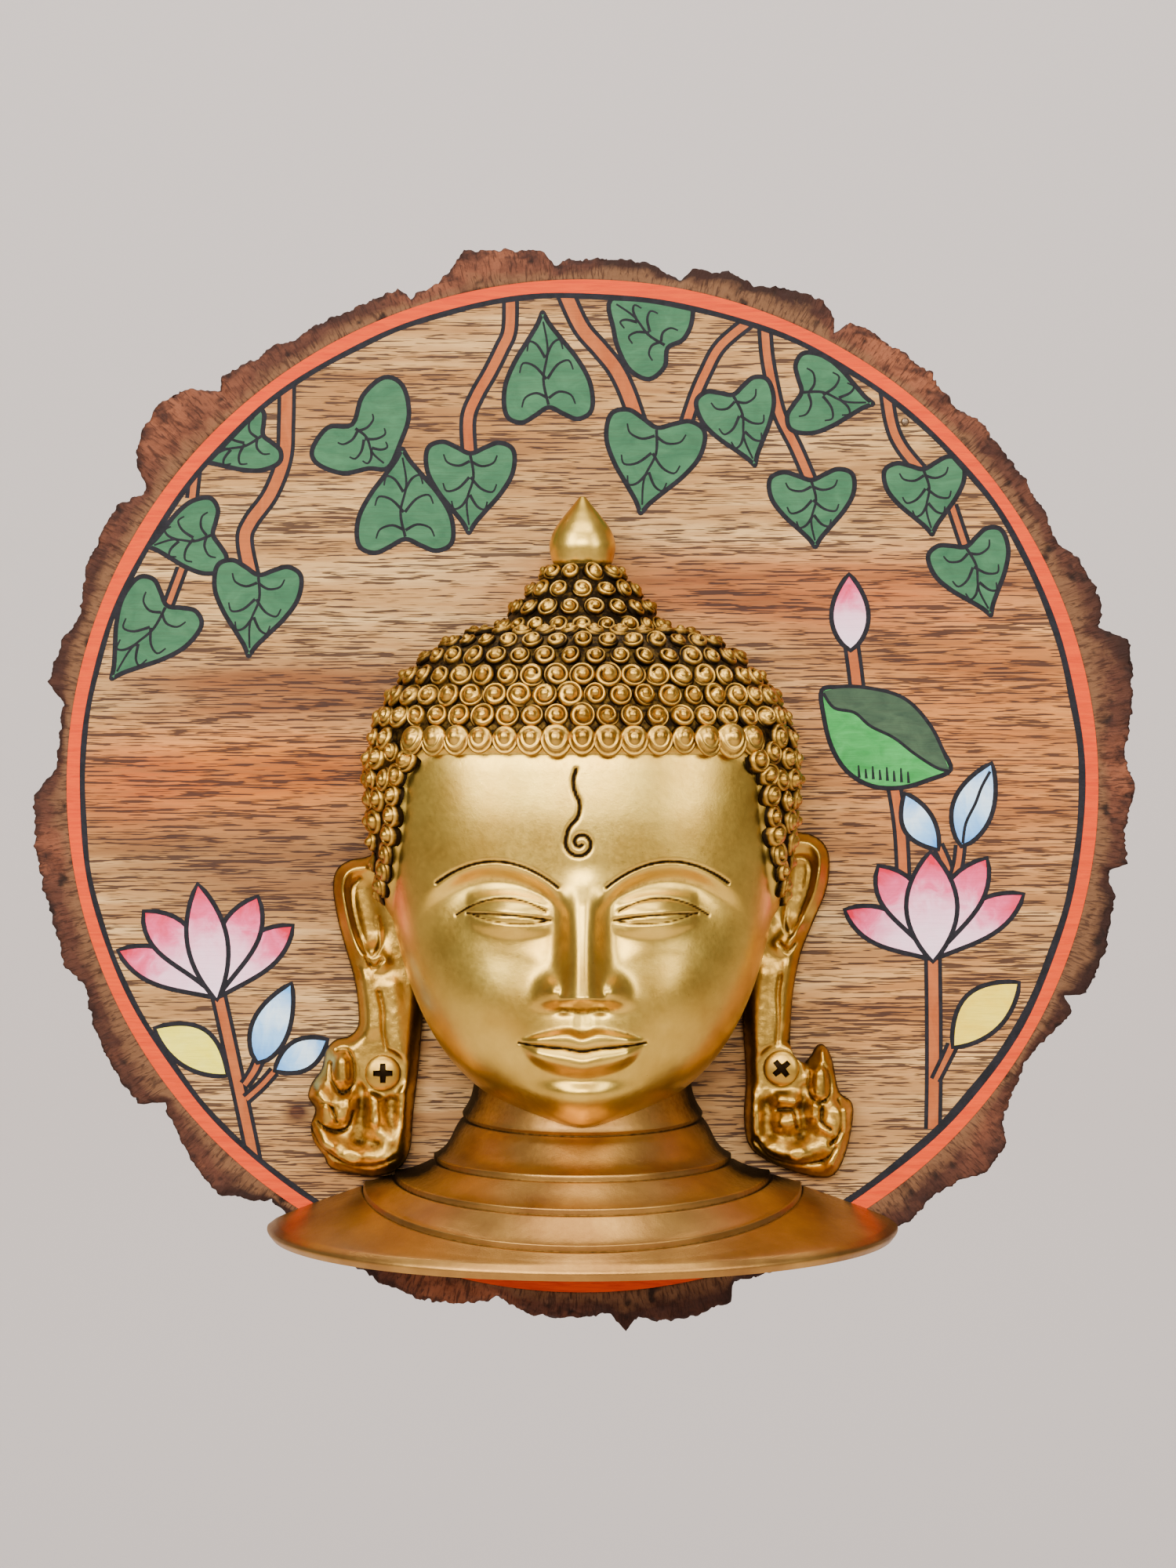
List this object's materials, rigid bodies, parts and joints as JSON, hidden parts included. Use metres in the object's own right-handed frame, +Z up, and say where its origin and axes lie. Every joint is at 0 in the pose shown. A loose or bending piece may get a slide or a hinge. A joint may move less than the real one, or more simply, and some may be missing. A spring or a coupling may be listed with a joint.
{
  "type": "buddha mask wall plaque",
  "caption": "Cast brass Buddha mask with snail-curl hair, long pendant ears and flared collar, screwed to a painted natural-edge wood slice, to hang on a wall.",
  "frame": {"origin": "middle of the wood slice's back face, where it lies against the wall", "axes": "+Z up, +X to the viewer's right, +Y into the wall, so that the face looks along -Y"},
  "size_m": [0.3543, 0.099, 0.3474],
  "materials": {
    "wood": "sanded open-grain hardwood under clear lacquer",
    "bark": "rough natural bark",
    "paint": "hand-painted acrylic, matte, several colours",
    "brass": "satin cast brass with dark patina in the recesses",
    "screw_brass": "bright turned brass",
    "steel": "dulled steel wire nail"
  },
  "bodies": {
    "root": {"wood_slice": "wood", "buddha_mask": "brass", "screw_left": "screw_brass", "screw_right": "screw_brass", "brad_nail": "steel"}
  },
  "joints": []
}
